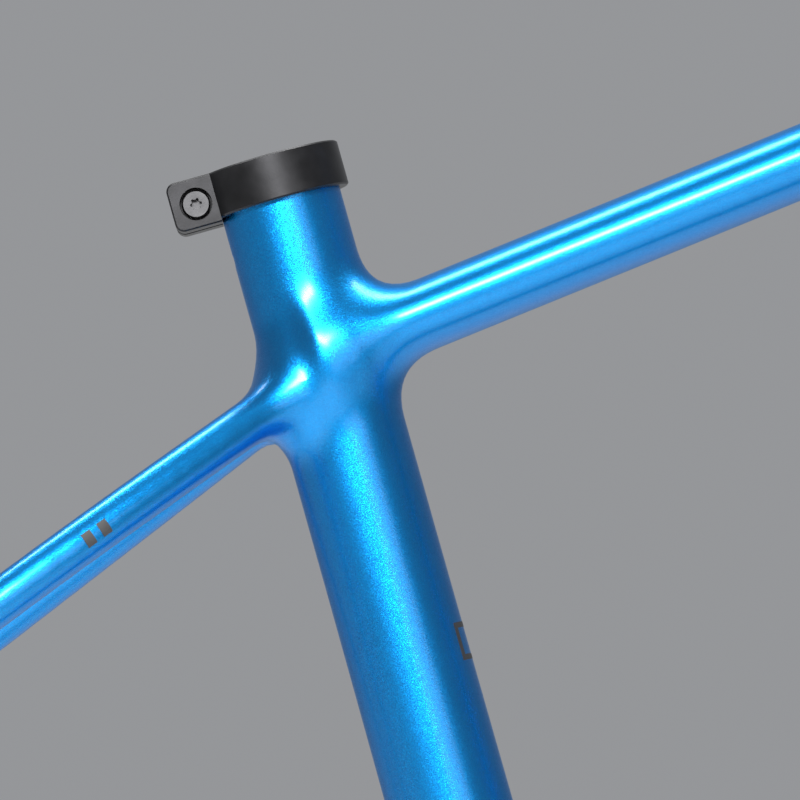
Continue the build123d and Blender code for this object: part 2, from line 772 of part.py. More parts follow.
# ---------------------------------------------------------------- ball bearings
def bearing(name, inner_radius, outer_radius, width, ball_radius, count, middle):
    """The five pieces of a sealed ball bearing. The plane is at the middle of its width."""
    pitch = (inner_radius + outer_radius) / 2
    half_gap = ball_radius - race_shoulder
    half = width / 2
    seal_rebate = half - seal_thickness - seal_recess
    inner_land = pitch - half_gap
    outer_land = pitch + half_gap
    inner_race = turned_ring(inner_radius, inner_land, half, pitch, ball_radius + running, middle)
    outer_race = turned_ring(outer_land, outer_radius, half, pitch, ball_radius + running, middle)
    cage_height = ball_radius + cage_rail
    cage = ring(inner_land + apart, outer_land - apart, -cage_height, cage_height, middle)
    balls = []
    for step in range(count):
        angle = 2 * pi * step / count
        out = middle.x_dir * cos(angle) + middle.y_dir * sin(angle)
        spoke = Plane(origin=middle.origin, x_dir=middle.z_dir, z_dir=out)
        balls.append(moved(spoke, 0, 0, pitch).location * Solid.make_sphere(ball_radius))
        cage -= rod(ball_radius + cage_clearance, inner_radius, outer_radius, spoke)
    seals = [
        ring(inner_land + running, outer_land, low, low + seal_thickness, middle)
        for low in (seal_rebate, -seal_rebate - seal_thickness)
    ]
    return {
        f"{name}_outer_race": outer_race,
        f"{name}_inner_race": inner_race,
        f"{name}_balls": group(balls),
        f"{name}_cage": biggest(cage),
        f"{name}_seals": group(seals),
    }


# ---------------------------------------------------------------- headset
headset_middle = headset_bearing_depth + headset_bearing_width / 2
steerer_bore = steerer_diameter / 2 + running


def upper_bearing():
    return bearing(
        "upper_bearing",
        upper_bearing_inner / 2,
        upper_bearing_outer / 2,
        headset_bearing_width,
        headset_ball_radius,
        upper_ball_count,
        moved(head_plane, 0, 0, -headset_middle),
    )


def lower_bearing():
    return bearing(
        "lower_bearing",
        lower_bearing_inner / 2,
        lower_bearing_outer / 2,
        headset_bearing_width,
        headset_ball_radius,
        lower_ball_count,
        moved(head_foot_plane, 0, 0, -headset_middle),
    )


def headset_compression_ring():
    """Split ring wedged between the steerer and the upper bearing's inner race."""
    outer = upper_bearing_inner / 2 - running
    seat = -headset_bearing_depth
    rim = outer + compression_rim
    profile = [
        (steerer_bore, seat - compression_depth),
        (outer, seat - compression_depth),
        (outer, seat),
        (rim, seat),
        (rim, compression_height),
        (steerer_bore, compression_height),
    ]
    half = compression_split / 2
    split = block((-2 * outer, -half, -headset_bearing_width), (0, half, 5), head_plane)
    return biggest(turned(profile, head_plane) - split)


def headset_top_cover():
    """Domed cap over the upper bearing, hollow underneath for the compression ring."""
    inside = upper_bearing_inner / 2 + compression_rim + apart
    profile = [
        (steerer_bore, compression_height + seat_gap),
        (inside, compression_height + seat_gap),
        (inside, apart),
        (cover_radius, apart),
        (cover_radius, cover_edge),
        (cover_radius - 1.2, cover_edge + 2.0),
        (cover_shoulder_radius, cover_height - edge_chamfer),
        (cover_shoulder_radius - edge_chamfer, cover_height),
        (steerer_bore, cover_height),
    ]
    return biggest(turned(profile, head_plane) - cover_seal_groove())


def cover_seal_groove():
    outer = cover_radius - seal_band
    return ring(outer - seal_band, outer, 0, cover_seal_height, head_plane)


def headset_cover_seal():
    """Rubber ring in the cover's underside that wipes the head tube's rim."""
    outer = cover_radius - seal_band
    return ring(outer - seal_band, outer, seat_gap, cover_seal_height, head_plane)


def crown_race():
    """Ring on the fork's crown that carries the lower bearing's inner race."""
    inner = crown_seat_diameter / 2
    profile = [
        (inner, crown_race_height - apart - headset_bearing_depth),
        (inner, -headset_bearing_depth - crown_race_lip),
        (lower_bearing_inner / 2 - running, -headset_bearing_depth - crown_race_lip),
        (lower_bearing_inner / 2 - running, -headset_bearing_depth),
        (crown_race_radius, -headset_bearing_depth),
        (crown_race_radius, apart),
        (lower_bearing_outer / 2 + crown_race_skirt, apart),
        (lower_bearing_outer / 2 + crown_race_skirt, crown_race_height - apart - headset_bearing_depth),
    ]
    return turned(profile, head_foot_plane)


# ---------------------------------------------------------------- bottom bracket
def bb_bearing(name, side):
    middle = bb_shell_width / 2 + bb_flange_width - bb_bearing_recess - bb_bearing_width / 2
    return bearing(
        name,
        bb_bearing_inner / 2,
        bb_bearing_outer / 2,
        bb_bearing_width,
        bb_ball_radius,
        bb_ball_count,
        moved(outward(side), 0, 0, middle),
    )


def bb_cup(side):
    """Cup pressed into the shell, with a flange outside it and a pocket for the bearing."""
    face = bb_shell_width / 2 + bb_flange_width
    pocket = face - bb_bearing_recess - bb_bearing_width
    start = bb_shell_width / 2 - bb_cup_depth
    pocket_radius = bb_bearing_outer / 2
    profile = [
        (bb_sleeve_radius + seat_gap, start),
        (bb_bore_radius, start),
        (bb_bore_radius, bb_shell_width / 2),
        (bb_flange_radius, bb_shell_width / 2),
        (bb_flange_radius, face - edge_chamfer),
        (bb_flange_radius - edge_chamfer, face),
        (pocket_radius, face),
        (pocket_radius, pocket),
        (bb_cup_passage, pocket),
        (bb_cup_passage, pocket - bb_cup_web),
        (bb_sleeve_radius + seat_gap, pocket - bb_cup_web),
    ]
    return turned(profile, outward(side))


def bb_sleeve():
    """Thin tube between the cups that keeps dirt off the spindle."""
    end = bb_shell_width / 2 + bb_flange_width - bb_bearing_recess - bb_bearing_width - bb_cup_web - apart
    return ring(bb_sleeve_radius - 1, bb_sleeve_radius, -end, end, outward(left))


def bb_dust_cover(side):
    """Plastic hat in the bearing's bore that the spindle passes through."""
    face = bb_shell_width / 2 + bb_flange_width
    race = face - bb_bearing_recess
    bore = spindle_diameter / 2
    profile = [
        (bore, race - bb_bearing_width),
        (bb_bearing_inner / 2, race - bb_bearing_width),
        (bb_bearing_inner / 2, race),
        (bb_bearing_inner / 2 + dust_cover_foot, race),
        (bb_bearing_inner / 2 + dust_cover_foot, face + apart),
        (dust_cover_radius, face + apart),
        (dust_cover_radius, face + apart + dust_cover_width),
        (bore, face + apart + dust_cover_width),
    ]
    return turned(profile, outward(side))


# ---------------------------------------------------------------- rear axle and hanger
def derailleur_hanger():
    """Plate on the inside of the right dropout, with a boss through it and an arm below."""
    at = outward(right, axle)
    inner = hub_width / 2
    face = dropout_inner
    hub = (0, 0, hanger_radius)
    hole = flat(right, -hanger_hole_back, -hanger_hole_drop)
    shape = plate([hub, (*hole, hanger_lug_radius)], inner, face, at)
    lug = moved(at, *hole, 0)
    shape += rod(hanger_lug_radius - 1, inner + 1, face + hanger_lug_extra, lug)
    shape += rod(hanger_boss_radius, inner, dropout_outer - apart, at)
    shape -= rod(hanger_bore_radius + running, 0, hub_width, at)
    shape -= rod(hanger_thread_radius, 0, hub_width, lug)
    return biggest(shape)


def hanger_bolt():
    """Bolt that clamps the hanger to the dropout, threaded inside for the axle."""
    start = hub_width / 2
    face = dropout_outer
    bore = axle_radius + running
    profile = [
        (bore, start),
        (hanger_bore_radius, start),
        (hanger_bore_radius, face),
        (hanger_flange_radius, face),
        (hanger_flange_radius, face + hanger_flange_width - edge_chamfer),
        (hanger_flange_radius - edge_chamfer, face + hanger_flange_width),
        (bore, face + hanger_flange_width),
    ]
    at = outward(right, axle)
    return biggest(turned(profile, at))


def axle_washer():
    face = dropout_outer + axle_washer_width
    return ring(axle_radius + running, axle_head_radius + 1, dropout_outer, face, outward(left, axle))


def thru_axle():
    """Axle with its head on the left. Its thread ends flush with the hanger's bolt."""
    head = dropout_outer + axle_washer_width
    top = head + axle_head_width
    end = -dropout_outer - hanger_flange_width + 0.5
    profile = [
        (0, end),
        (axle_radius - 1, end),
        (axle_radius, end + 1),
        (axle_radius, head),
        (axle_head_radius, head),
        (axle_head_radius, top - edge_chamfer),
        (axle_head_radius - edge_chamfer, top),
        (0, top),
    ]
    at = outward(left, axle)
    return biggest(turned(profile, at) - prism(6, axle_key_radius, top - axle_key_depth, top + 1, at))


def brake_mount():
    """Bonded saddle on the left chainstay with two threaded posts for the caliper."""
    at = brake_plane()
    half = brake_hole_spacing / 2
    top = brake_post_height
    shape = block((-half, -brake_web / 2, 0), (half, brake_web / 2, top - brake_web_drop), at)
    posts = [moved(at, x, 0, 0) for x in (-half, half)]
    for post in posts:
        shape += rod(brake_post_radius, 0, top, post)
    shape -= chainstay_bodies[left]
    shape -= seatstay_bodies[left]
    shape -= dropout_body(left)
    for post in posts:
        shape -= rod(brake_thread_radius, top - brake_thread_depth, top + 1, post)
    return biggest(shape)


# ---------------------------------------------------------------- guards and cable ports
def down_tube_guard():
    """Rubber skin under the lower end of the down tube."""
    skin = tube(down_tube_stations, -guard_thickness) - down_body
    at = Plane(origin=(0, 0, 0), x_dir=down_along, z_dir=Vector(0, 1, 0).cross(down_along))
    half = down_guard_half_width
    window = block((down_guard_start, -half, 10), (down_guard_end, half, 60), at)
    return biggest(window & skin)


def chainstay_protector():
    """Rubber skin over the top and the sides of the right chainstay."""
    stations = chainstay_stations(right)
    skin = tube(stations, -guard_thickness) - chainstay_bodies[right]
    front, rear = stations[1].centre, stations[3].centre
    along = Vector(rear.X - front.X, 0, rear.Z - front.Z).normalized()
    at = Plane(origin=(front.X, 0, front.Z), x_dir=along, z_dir=along.cross(Vector(0, -1, 0)))
    window = block((stay_guard_start, 0, -6), (stay_guard_end, 120, 60), at)
    return biggest(window & skin)


def bb_cable_cover():
    """Curved plate under the bottom bracket that closes the cables' way through."""
    outer = bb_guard_radius
    skin = ring(bb_shell_radius, outer, -bb_guard_length / 2, bb_guard_length / 2, outward(left))
    half = outer * sin(radians(bb_guard_angle / 2))
    corner = Plane((-half, -bb_guard_length / 2, -outer))
    shape = skin & Solid.make_box(2 * half, bb_guard_length, outer, corner)
    for hole in bb_guard_screw_planes:
        shape -= screw_hole(hole)
    return biggest(shape)


def screw_hole(plane):
    """Hole for a small screw, with a flat seat for its head."""
    return rod(small_screw_radius + running, -small_screw_length - 1, 1, plane) + rod(
        small_head_radius + seat_gap, 0, small_screw_length, plane
    )


def screw(plane):
    """Small dome-headed screw standing on a plane."""
    head = [
        (0, -small_screw_length),
        (small_screw_radius, -small_screw_length),
        (small_screw_radius, 0),
        (small_head_radius, 0),
        (small_head_radius, small_head_height * 0.4),
        (small_head_radius * 0.7, small_head_height),
        (0, small_head_height),
    ]
    key = prism(6, small_key_radius, small_head_height * 0.3, small_head_height + 1, plane)
    return biggest(turned(head, plane) - key)


def cable_port_cover(side):
    """Plate on the side of the down tube with a hood that the cable comes out of."""
    at = port_plane(side)
    half = port_length / 2
    end = port_width / 2
    outline_circles = [(-half + end, 0, end), (half - end, 0, end)]
    window = plate(outline_circles, -port_width, port_width, at)
    shape = (tube(down_tube_stations, -port_thickness) - down_body) & window
    cable = port_cable_plane(side)
    hood = rod(port_hood_radius, -port_length / 2, port_hood_length, cable)
    shape = shape + (hood - down_body)
    shape -= rod(grommet_radius, -port_length, port_length, cable)
    shape -= screw_hole(port_screw_plane(side))
    return biggest(shape)


def cable_port_grommets():
    """Soft bushes that the cables pass through."""
    low, high = port_hood_length - grommet_length, port_hood_length + 1
    planes = [port_cable_plane(side) for side in (left, right)]
    return group(ring(cable_radius, grommet_radius, low, high, plane) for plane in planes)


def bottle_insert(plane):
    """Threaded barrel bonded into a tube, with a thin flange outside it."""
    profile = [
        (bottle_thread_radius, -insert_depth),
        (insert_radius, -insert_depth),
        (insert_radius, 0),
        (insert_flange_radius, 0),
        (insert_flange_radius, insert_flange),
        (bottle_thread_radius, insert_flange),
    ]
    return turned(profile, plane)


# ---------------------------------------------------------------- all nodes
def all_nodes():
    nodes = {
        "head_tube": head_tube(),
        "top_tube": top_tube(),
        "down_tube": down_tube(),
        "seat_tube": seat_tube(),
        "bottom_bracket_shell": bottom_bracket_shell(),
        "chainstay_right": chainstay(right),
        "chainstay_left": chainstay(left),
        "seatstay_right": seatstay(right),
        "seatstay_left": seatstay(left),
        "dropout_right": dropout_right(),
        "dropout_left": dropout_left(),
        "seat_collar": seat_collar(),
        "seat_collar_bolt": seat_collar_bolt(),
        "seat_collar_nut": seat_collar_nut(),
        "headset_top_cover": headset_top_cover(),
        "headset_cover_seal": headset_cover_seal(),
        "headset_compression_ring": headset_compression_ring(),
        "crown_race": crown_race(),
        "bb_cup_right": bb_cup(right),
        "bb_cup_left": bb_cup(left),
        "bb_sleeve": bb_sleeve(),
        "bb_dust_cover_right": bb_dust_cover(right),
        "bb_dust_cover_left": bb_dust_cover(left),
        "derailleur_hanger": derailleur_hanger(),
        "hanger_bolt": hanger_bolt(),
        "axle_washer": axle_washer(),
        "thru_axle": thru_axle(),
        "brake_mount": brake_mount(),
        "down_tube_guard": down_tube_guard(),
        "chainstay_protector": chainstay_protector(),
        "bb_cable_cover": bb_cable_cover(),
        "bb_cable_cover_screws": group(screw(plane) for plane in bb_guard_screw_planes),
        "cable_port_cover_right": cable_port_cover(right),
        "cable_port_cover_left": cable_port_cover(left),
        "cable_port_grommets": cable_port_grommets(),
        "cable_port_screws": group(screw(port_screw_plane(side)) for side in (left, right)),
        "bottle_inserts": group(bottle_insert(plane) for plane in seat_bottle_planes + down_bottle_planes),
    }
    nodes.update(upper_bearing())
    nodes.update(lower_bearing())
    nodes.update(bb_bearing("bb_bearing_right", right))
    nodes.update(bb_bearing("bb_bearing_left", left))
    return nodes


os.makedirs("parts", exist_ok=True)
for name, shape in all_nodes().items():
    export_step(shape, f"parts/{name}.step")
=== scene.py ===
"""The looks of a carbon hardtail frame: one painted skin over the bonded tubes, and the metal,
rubber and plastic parts around it. Lengths in the tables are millimetres in the frame's own
axes: +X forwards, +Y to the rider's left, +Z up, origin on the crank axis."""

import json
import math

import bmesh
import bpy
import numpy as np
from mathutils import Matrix, Vector


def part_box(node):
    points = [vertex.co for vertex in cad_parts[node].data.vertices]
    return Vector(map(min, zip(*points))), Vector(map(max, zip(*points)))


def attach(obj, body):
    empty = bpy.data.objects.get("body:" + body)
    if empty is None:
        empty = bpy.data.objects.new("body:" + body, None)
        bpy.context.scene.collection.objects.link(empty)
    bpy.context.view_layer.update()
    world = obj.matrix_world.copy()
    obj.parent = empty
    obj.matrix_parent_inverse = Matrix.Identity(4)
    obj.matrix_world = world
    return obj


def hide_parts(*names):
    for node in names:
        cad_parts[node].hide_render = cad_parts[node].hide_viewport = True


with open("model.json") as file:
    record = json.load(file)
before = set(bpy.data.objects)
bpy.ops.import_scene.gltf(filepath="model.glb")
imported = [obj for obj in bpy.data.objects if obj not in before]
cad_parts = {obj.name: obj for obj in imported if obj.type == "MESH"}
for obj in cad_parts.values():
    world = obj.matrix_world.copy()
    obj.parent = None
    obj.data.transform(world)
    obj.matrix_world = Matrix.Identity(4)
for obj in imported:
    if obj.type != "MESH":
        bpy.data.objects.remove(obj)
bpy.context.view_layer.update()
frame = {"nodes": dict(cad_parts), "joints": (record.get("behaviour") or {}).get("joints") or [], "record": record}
nodes = frame["nodes"]
mounts = {mount["name"]: mount for mount in frame["record"]["mounts"]}
scene = bpy.context.scene
MM = 0.001

# ---------------------------------------------------------------- geometry of the frame
SEAT_TUBE_LENGTH = 430.0
HEAD_TUBE_LENGTH = 110.0
CRANK_AXIS = np.zeros(3)
HEAD_TOP = np.array([440.0, 0.0, 612.0])
joints = {joint["name"]: joint for joint in frame["joints"]}
AXLE = np.array(joints["hanger_swing"]["pos_m"]) / MM
SEAT_UP = np.array(mounts["seat_post"]["axis"])
HEAD_UP = -np.array(mounts["steerer"]["axis"])
SEAT_TOP = SEAT_UP * SEAT_TUBE_LENGTH
HEAD_BOTTOM = HEAD_TOP - HEAD_UP * HEAD_TUBE_LENGTH
ACROSS = np.array([0.0, 1.0, 0.0])
BLEND = 15.0  # width of the soft union between two tubes
BLEND_PLATE = 8.0  # and between a stay and its dropout
BLEND_TIP = 4.0  # and where a stay tapers into its dropout
BLEND_BOSS = 2.0  # and round the left dropout's boss
TRIM = 12.0  # how far open ends run on before they are cut flat
TRIM_SHORT = 4.0  # and at the head tube's foot, beside the down tube
CELL = 2.4  # size of the skin's faces
LEFT, RIGHT = 1, -1

BB_RADIUS = 25.0
BB_WIDTH = 92.0
BB_BORE = 20.5
POST_RADIUS = mounts["seat_post"]["dims"]["r_mm"]
POST_DEPTH = mounts["seat_post"]["dims"]["length_mm"]
SLOT_WIDTH = 2.5  # of the slot at the back of the seat tube
SLOT_DEPTH = 24.0
SLOT_HOLE_RADIUS = 2.5  # of the hole that ends it
HEAD_PASSAGE_RADIUS = 18.2
HEAD_SEAT_DEPTH = 9.0  # of the bearing seats at both ends of the head tube
UPPER_SEAT_RADIUS = 21.0
LOWER_SEAT_RADIUS = 26.0
DROPOUT_INNER = 78.0
DROPOUT_OUTER = 86.0
DROPOUT_MIDDLE = (DROPOUT_INNER + DROPOUT_OUTER) / 2
HUB_RADIUS = 17.0  # round end of a dropout, about the axle
BOSS_RADIUS = 13.0  # of the left dropout's round boss
BOSS_HEIGHT = 4.0
AXLE_BORE = 6.05  # radius through the left dropout
HANGER_BORE = 11.05  # radius through the right dropout
TYRE_GAP = 70.0
STAY_WIDTH = 15.0
PAST_TYRE = (TYRE_GAP + STAY_WIDTH) / 2  # from the middle plane to the middle of a stay
INSERT_HOLE = 4.5  # radius of the hole for a bottle-cage insert
PORT_HOLE = 4.2  # and for a cable port's grommet


def unit(vector):
    return np.asarray(vector, float) / np.linalg.norm(vector)


# ---------------------------------------------------------------- distance fields
def cubic(knots, values, at):
    """A smooth curve through values at knots, read at some places. Its ends are not-a-knot."""
    knots = np.asarray(knots, float)
    values = np.asarray(values, float)
    count = len(knots)
    step = np.diff(knots)
    slope = np.diff(values, axis=0) / step.reshape(-1, *[1] * (values.ndim - 1))
    matrix = np.zeros((count, count))
    right = np.zeros_like(values)
    for row in range(1, count - 1):
        matrix[row, row - 1 : row + 2] = step[row - 1], 2 * (step[row - 1] + step[row]), step[row]
        right[row] = 6 * (slope[row] - slope[row - 1])
    if count > 3:
        matrix[0, :3] = step[1], -step[0] - step[1], step[0]
        matrix[-1, -3:] = step[-1], -step[-2] - step[-1], step[-2]
    else:
        matrix[0, 0] = matrix[-1, -1] = 1
    bend = np.linalg.solve(matrix, right)
    span = np.clip(np.searchsorted(knots, at, side="right") - 1, 0, count - 2)
    shape = (-1, *[1] * (values.ndim - 1))
    h = step[span].reshape(shape)
    a = ((knots[span + 1] - at) / step[span]).reshape(shape)
    b = 1 - a
    curve = a * values[span] + b * values[span + 1]
    return curve + ((a**3 - a) * bend[span] + (b**3 - b) * bend[span + 1]) * h**2 / 6


def eased(knots, values, at):
    """A smooth curve through columns of values that never overshoots them."""
    knots, values = np.asarray(knots, float), np.asarray(values, float)
    spans = np.diff(knots)[:, None]
    rises = np.diff(values, axis=0) / spans
    product = rises[:-1] * rises[1:]
    total = np.where(product > 0, rises[:-1] + rises[1:], 1)
    slopes = np.vstack([rises[:1], np.where(product > 0, 2 * product / total, 0), rises[-1:]])
    row = np.clip(np.searchsorted(knots, at, side="right") - 1, 0, len(knots) - 2)
    t = ((at - knots[row])[:, None]) / spans[row]
    start = values[row] * (1 + 2 * t) * (1 - t) ** 2 + values[row + 1] * t**2 * (3 - 2 * t)
    return start + spans[row] * t * (1 - t) * (slopes[row] * (1 - t) - slopes[row + 1] * t)


class Tube:
    """A superellipse section carried along a path. Rows are share, width, height, power."""

    samples = 240

    def __init__(self, path, rows, blend=BLEND):
        path = np.array(path, float)
        self.blend = blend
        chords = np.concatenate([[0], np.cumsum(np.linalg.norm(np.diff(path, axis=0), axis=1))])
        fine = np.linspace(0, chords[-1], 4 * self.samples)
        if len(path) > 2:
            line = cubic(chords, path, fine)
        else:
            line = path[0] + fine[:, None] * unit(path[1] - path[0])
        run = np.concatenate([[0], np.cumsum(np.linalg.norm(np.diff(line, axis=0), axis=1))])
        self.length = run[-1]
        self.at = np.linspace(0, self.length, self.samples)
        self.centre = np.stack([np.interp(self.at, run, line[:, axis]) for axis in range(3)], 1)
        along = np.gradient(self.centre, self.at, axis=0)
        self.along = along / np.linalg.norm(along, axis=1, keepdims=True)
        side = ACROSS - self.along * self.along[:, 1:2]
        self.side = side / np.linalg.norm(side, axis=1, keepdims=True)
        self.up = np.cross(self.along, self.side)
        rows = np.array(rows, float)
        sizes = eased(rows[:, 0] * self.length, rows[:, 1:], self.at)
        self.form = np.column_stack([sizes[:, 0] / 2, sizes[:, 1] / 2, sizes[:, 2]])
        self.chord = unit(self.centre[-1] - self.centre[0])
        self.reach = (self.centre - self.centre[0]) @ self.chord

    def read(self, table, run):
        return np.stack([np.interp(run, self.at, column) for column in table.T], 1)

    def locate(self, points):
        run = np.interp((points - self.centre[0]) @ self.chord, self.reach, self.at)
        for _ in range(2):
            offset = points - self.read(self.centre, run)
            run = run + np.einsum("ij,ij->i", offset, self.read(self.along, run))
        return run

    def __call__(self, points):
        """Distance from the surface, and the direction away from it."""
        run = self.locate(points)
        kept = np.clip(run, 0, self.length)
        offset = points - self.read(self.centre, kept)
        side, up, along = (self.read(table, kept) for table in (self.side, self.up, self.along))
        half_width, half_height, power = self.read(self.form, kept).T
        u = np.einsum("ij,ij->i", offset, side)
        v = np.einsum("ij,ij->i", offset, up)
        over = np.where(run < 0, -run, np.where(run > self.length, run - self.length, 0))
        a = np.abs(u / half_width) + 1e-9
        b = np.abs(v / half_height) + 1e-9
        total = a**power + b**power
        level = total ** (1 / power)
        shrink = level ** (1 - power)
        du = np.sign(u) * shrink * a ** (power - 1) / half_width
        dv = np.sign(v) * shrink * b ** (power - 1) / half_height
        steep = np.hypot(du, dv)
        distance = (level - 1) / steep
        normal = (du[:, None] * side + dv[:, None] * up) / steep[:, None]
        past = over > 0
        outside = np.maximum(distance, 0)
        rounded = np.hypot(outside, over)
        sign = np.where(run < 0, -1.0, 1.0)[:, None]
        cap = outside[:, None] * normal + over[:, None] * sign * along
        cap /= np.maximum(rounded, 1e-9)[:, None]
        return np.where(past, rounded, distance), np.where(past[:, None], cap, normal)


class Barrel:
    """A round body about an axis, with flat ends. Profile rows are height, radius."""

    def __init__(self, origin, axis, profile, blend=BLEND):
        self.origin, self.axis, self.blend = np.asarray(origin, float), unit(axis), blend
        profile = np.array(profile, float)
        self.low, self.high = profile[0, 0], profile[-1, 0]
        self.heights = np.linspace(self.low, self.high, 400)
        if len(profile) > 2:
            self.radii = cubic(profile[:, 0], profile[:, 1], self.heights)
        else:
            self.radii = np.interp(self.heights, *profile.T)
        self.slopes = np.gradient(self.radii, self.heights)

    def __call__(self, points):
        offset = points - self.origin
        height = offset @ self.axis
        outwards = offset - height[:, None] * self.axis
        reach = np.linalg.norm(outwards, axis=1)
        kept = np.clip(height, self.low, self.high)
        radius = np.interp(kept, self.heights, self.radii)
        slope = np.where(kept == height, np.interp(kept, self.heights, self.slopes), 0)
        scale = np.sqrt(1 + slope**2)
        normal = outwards / np.maximum(reach, 1e-9)[:, None] - slope[:, None] * self.axis
        distance = (reach - radius) / scale
        middle = (self.low + self.high) / 2
        end = np.abs(height - middle) - (self.high - self.low) / 2
        beyond = end > distance
        cap = np.sign(height - middle)[:, None] * self.axis
        return np.where(beyond, end, distance), np.where(beyond[:, None], cap, normal / scale[:, None])


class Plate:
    """A flat plate across the bicycle's Y axis: the hull of two discs (x, z, radius)."""

    def __init__(self, first, second, low, high, edge=1.0, blend=BLEND_PLATE):
        self.first, self.second = np.array(first[:2], float), np.array(second[:2], float)
        self.radii = first[2], second[2]
        self.middle, self.half = (low + high) / 2, (high - low) / 2
        self.edge, self.blend = edge, blend

    def __call__(self, points):
        flat = points[:, [0, 2]] - self.first
        line = self.second - self.first
        length = np.linalg.norm(line)
        line = line / length
        ahead = flat @ line
        beside = flat - ahead[:, None] * line
        away = np.linalg.norm(beside, axis=1)
        lean = (self.radii[0] - self.radii[1]) / length
        share = np.clip((ahead + away * lean / math.sqrt(1 - lean**2)) / length, 0, 1)
        spoke = flat - (share * length)[:, None] * line
        reach = np.maximum(np.linalg.norm(spoke, axis=1), 1e-9)
        rim = reach - (self.radii[0] + share * (self.radii[1] - self.radii[0])) + self.edge
        depth = points[:, 1] - self.middle
        face = np.abs(depth) - self.half + self.edge
        outside_rim, outside_face = np.maximum(rim, 0), np.maximum(face, 0)
        corner = np.hypot(outside_rim, outside_face)
        distance = np.where(corner > 0, corner, np.maximum(rim, face)) - self.edge
        rim_share = np.where(corner > 0, outside_rim / np.maximum(corner, 1e-9), (rim > face) * 1.0)
        face_share = np.where(corner > 0, outside_face / np.maximum(corner, 1e-9), (rim <= face) * 1.0)
        normal = np.zeros_like(points)
        normal[:, [0, 2]] = spoke / reach[:, None] * rim_share[:, None]
        normal[:, 1] = np.sign(depth) * face_share
        return distance, normal


def soft_union(parts, points):
    """Distance and direction of the smooth union of the parts, which fillets every junction."""
    distance, normal = parts[0](points)
    for part in parts[1:]:
        other, other_normal = part(points)
        overlap = np.maximum(part.blend - np.abs(distance - other), 0) / part.blend
        nearer = (other < distance)[:, None]
        weight = overlap[:, None] / 2
        near_normal = np.where(nearer, other_normal, normal)
        far_normal = np.where(nearer, normal, other_normal)
        distance = np.minimum(distance, other) - overlap**2 * part.blend / 4
        normal = near_normal * (1 - weight) + far_normal * weight
    return distance, normal


# ---------------------------------------------------------------- the painted tubes
def seat_tube():
    rows = [
        (0, 62, 41, 2.3),
        (0.12, 53.32, 41, 2.2),
        (0.3, 38.44, 37.72, 2.1),
        (0.5, 34.9, 35.5, 2),
        (0.75, 34.9, 34.9, 2),
        (1, 34.9, 34.9, 2),
    ]
    whole = SEAT_TUBE_LENGTH + TRIM
    rows = [(share * SEAT_TUBE_LENGTH / whole, *size) for share, *size in rows]
    return Tube([CRANK_AXIS, SEAT_UP * whole], [*rows, (1, *rows[-1][1:])])


def top_tube():
    rows = [
        (0, 36, 20.4, 2.2),
        (0.25, 36, 20.4, 2.2),
        (0.6, 39, 26.27, 2.3),
        (0.85, 42, 35, 2.4),
        (1, 42, 38, 2.4),
    ]
    return Tube([SEAT_TOP - SEAT_UP * 57.5, HEAD_TOP - HEAD_UP * 30.6], rows)


def down_tube():
    rows = [
        (0, 68, 48, 2.6),
        (0.15, 64, 49, 2.6),
        (0.5, 57, 50, 2.7),
        (0.85, 48, 52, 2.6),
        (1, 46, 52, 2.5),
    ]
    return Tube([CRANK_AXIS, HEAD_TOP - HEAD_UP * 62], rows)


def seatstay(side):
    root = SEAT_TOP - SEAT_UP * 61
    slope = math.radians(36.8)
    fall = np.array([-math.cos(slope), 0, -math.sin(slope)])
    path = [
        root + [0, 3, 0],
        root + fall * 48 + [0, PAST_TYRE - 15.5, 0],
        root + fall * 88 + [0, PAST_TYRE, 0],
        root + fall * 225 + [0, PAST_TYRE + 14, -4],
        AXLE + [19, DROPOUT_MIDDLE, 36],
    ]
    rows = [
        (0, 18, 13, 2.2),
        (0.1, 16.5, 12.7, 2.2),
        (0.2, 15, 12.7, 2.2),
        (0.4, 14.5, 12.7, 2.2),
        (0.7, 13, 13, 2.2),
        (1, 11, 14.7, 2.2),
    ]
    return Tube(path * np.array([1, side, 1]), rows)


def chainstay(side):
    path = [
        np.array([-8, PAST_TYRE - 12, 1]),
        np.array([-66, PAST_TYRE, 3]),
        np.array([-185, PAST_TYRE + 8, 14]),
        np.array([-310, PAST_TYRE + 24, 34]),
        AXLE + [34, DROPOUT_MIDDLE, -8],
    ]
    rows = [
        (0, 24, 34, 2.5),
        (0.16, 15, 33, 2.5),
        (0.35, 15, 29, 2.4),
        (0.65, 15, 24.5, 2.3),
        (1, 12, 19, 2.2),
    ]
    return Tube(path * np.array([1, side, 1]), rows)


def head_tube():
    down = -HEAD_TUBE_LENGTH
    foot = [(down + at, 30.5) for at in (-TRIM_SHORT, 0, HEAD_SEAT_DEPTH)]
    top = [(at, 25) for at in (-HEAD_SEAT_DEPTH, 0, TRIM)]
    profile = [*foot, (down / 2, 22.8), (-26, 22.8), *top]
    return Barrel(HEAD_TOP, HEAD_UP, profile)


